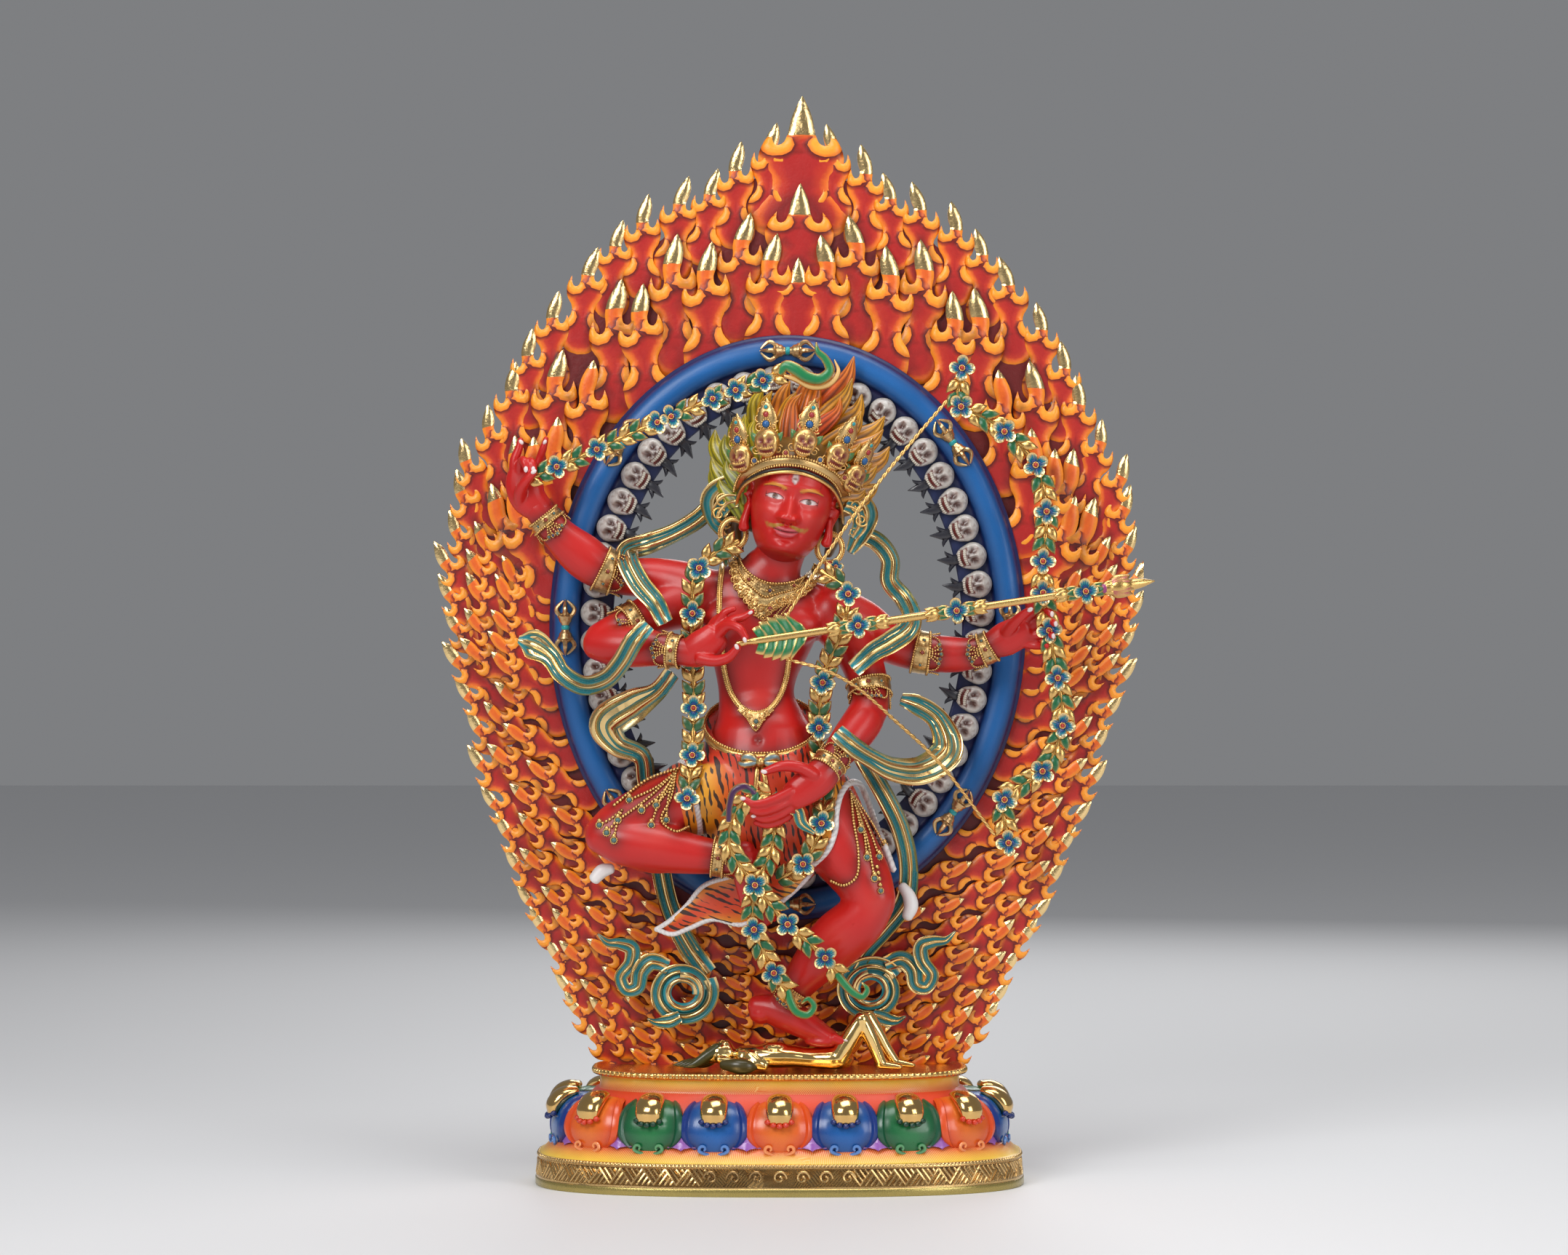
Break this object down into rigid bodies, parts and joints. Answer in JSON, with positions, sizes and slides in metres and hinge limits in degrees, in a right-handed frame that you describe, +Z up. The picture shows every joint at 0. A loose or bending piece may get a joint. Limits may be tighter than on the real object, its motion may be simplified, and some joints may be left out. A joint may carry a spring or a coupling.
{
  "type": "kurukulla statue",
  "caption": "Painted and gilded metal statue of a four-armed red dancer with a floral bow, on a lotus plinth before a skull ring and a flame aureole.",
  "frame": {"origin": "the middle of the plinth's flat underside", "axes": "+Z up, the figure faces -Y, +X is the figure's left"},
  "size_m": [0.6149, 0.2218, 0.8988],
  "materials": {
    "red_lacquer": "satin red paint with airbrushed shading",
    "flame_paint": "satin red paint fading to orange rims and gilt tips",
    "ring_blue": "satin azure paint fading to navy",
    "lotus_paint": "satin petals in orange, blue and green on a gilt foot",
    "polished_gold": "mirror-polished gilding",
    "matt_gold": "matt gilding",
    "flower_paint": "gilt leaves with green hearts and blue flowers",
    "scarf_paint": "gilt folds with teal grooves",
    "hair_paint": "satin yellow-green paint streaked with orange"
  },
  "bodies": {
    "root": {"lotus_plinth": "lotus_paint", "recumbent_figure": "polished_gold", "dancing_figure": "red_lacquer", "flaming_hair": "hair_paint", "skull_crown": "matt_gold", "earring_right": "matt_gold", "earring_left": "matt_gold", "garland_right": "flower_paint", "garland_left": "flower_paint", "flower_goad": "flower_paint", "flower_bow": "flower_paint", "bowstring": "matt_gold", "arrow": "matt_gold", "flower_noose": "flower_paint", "scarf_upper_right": "scarf_paint", "scarf_elbow_right": "scarf_paint", "scarf_waist_right": "scarf_paint", "scarf_upper_left": "scarf_paint", "scarf_elbow_left": "scarf_paint", "scarf_thigh_left": "scarf_paint", "halo_ring": "ring_blue", "flame_aureole": "flame_paint"}
  },
  "joints": []
}
